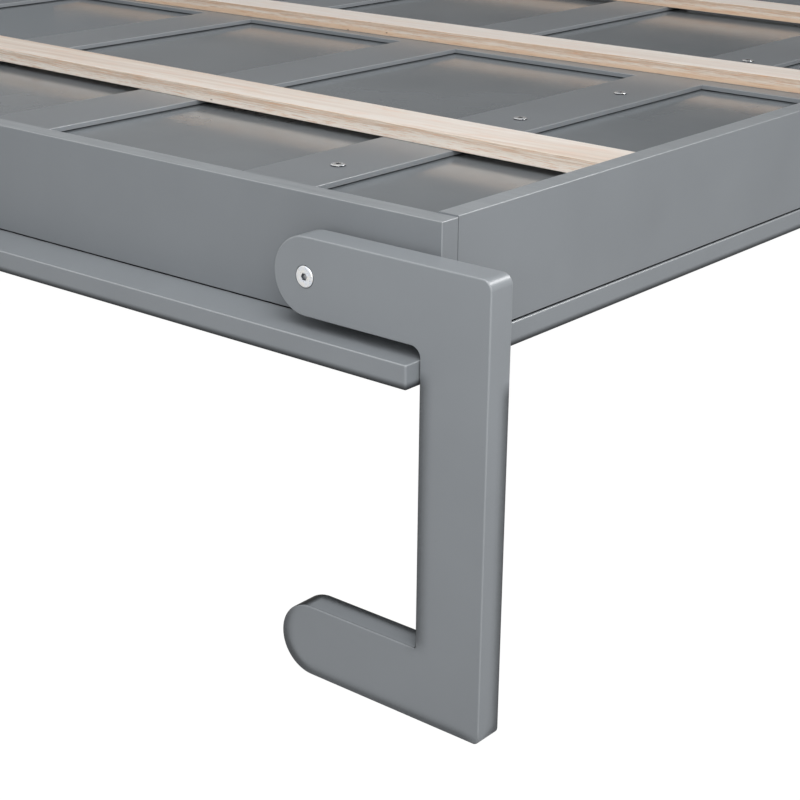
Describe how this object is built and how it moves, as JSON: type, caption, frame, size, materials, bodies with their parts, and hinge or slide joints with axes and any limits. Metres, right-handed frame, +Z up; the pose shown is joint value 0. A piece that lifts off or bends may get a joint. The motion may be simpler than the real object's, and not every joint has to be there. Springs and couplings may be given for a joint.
{
  "type": "fold-down wall bed platform",
  "caption": "Sleeping platform of a side-folding wall bed: panelled door floor, rails, loose slats, C-shaped folding legs and wall pivots.",
  "frame": {"origin": "on the floor, under the middle of the bed frame's outline", "axes": "+X across the bed, from the wall side to the free edge; +Y along the bed, towards its right-hand end; +Z up"},
  "size_m": [1.686, 2.182, 0.37],
  "materials": {
    "painted_rail": "smooth grey semi-gloss paint on wood board, edges eased",
    "painted_door": "smooth grey semi-gloss paint on wood board, edges eased",
    "painted_panel": "smooth grey semi-gloss paint on thin board",
    "painted_leg": "smooth grey semi-gloss paint on thick board, edges eased",
    "plywood": "bare plywood, faces sanded, layers showing at the edges",
    "galvanised_steel": "zinc-coated sheet",
    "screw_zinc": "bright zinc plate",
    "bolt_zinc": "bright zinc plate",
    "pull_steel": "fine satin brushing along the bar",
    "pivot_steel": "turned steel with a zinc plate",
    "nylon": "smooth natural nylon"
  },
  "bodies": {
    "wall_mounts": {"cabinet_pivot_left": "pivot_steel", "cabinet_pivot_right": "pivot_steel", "pivot_spacer_left": "nylon", "pivot_spacer_right": "nylon"},
    "platform": {"end_rail_left": "painted_rail", "end_rail_right": "painted_rail", "front_rail": "painted_rail", "rear_rail": "painted_rail", "door_end_left": "painted_door", "door_end_right": "painted_door", "door_batten_1": "painted_door", "door_batten_2": "painted_door", "door_batten_3": "painted_door", "door_batten_4": "painted_door", "door_batten_5": "painted_door", "door_cross_rail_1": "painted_door", "door_cross_rail_2": "painted_door", "door_cross_rail_3": "painted_door", "door_cross_rail_4": "painted_door", "door_panel_1": "painted_panel", "door_panel_2": "painted_panel", "door_panel_3": "painted_panel", "door_panel_4": "painted_panel", "door_panel_5": "painted_panel", "door_panel_6": "painted_panel", "door_panel_7": "painted_panel", "door_panel_8": "painted_panel", "slat_1": "plywood", "slat_2": "plywood", "slat_3": "plywood", "corner_bracket_front_left": "galvanised_steel", "corner_bracket_front_right": "galvanised_steel", "corner_bracket_rear_left": "galvanised_steel", "corner_bracket_rear_right": "galvanised_steel", "rail_brackets": "galvanised_steel", "corner_screws": "screw_zinc", "bracket_screws": "screw_zinc", "bearing_screws": "screw_zinc", "pull_bar_1": "pull_steel", "pull_bar_2": "pull_steel", "pull_bar_3": "pull_steel", "pull_posts": "pull_steel", "pull_bolts": "bolt_zinc", "leg_bolt_left": "bolt_zinc", "leg_bolt_right": "bolt_zinc", "leg_nut_left": "bolt_zinc", "leg_nut_right": "bolt_zinc", "leg_sleeve_left": "pivot_steel", "leg_sleeve_right": "pivot_steel", "pivot_bearing_left": "pivot_steel", "pivot_bearing_right": "pivot_steel", "leg_washer_left": "nylon", "leg_washer_right": "nylon"},
    "left_leg": {"leg_left": "painted_leg"},
    "right_leg": {"leg_right": "painted_leg"}
  },
  "joints": [
    {"name": "platform_fold", "type": "hinge", "parent": "wall_mounts", "child": "platform", "pos_m": [-0.751, 0, 0.323], "axis": [0, -1, 0], "range_deg": [0, 90]},
    {"name": "leg_pivot_left", "type": "hinge", "parent": "platform", "child": "left_leg", "pos_m": [0.6785, -1.062, 0.317], "axis": [0, -1, 0], "range_deg": [0, 180]},
    {"name": "leg_pivot_right", "type": "hinge", "parent": "platform", "child": "right_leg", "pos_m": [0.6785, 1.062, 0.317], "axis": [0, -1, 0], "range_deg": [0, 180]}
  ]
}
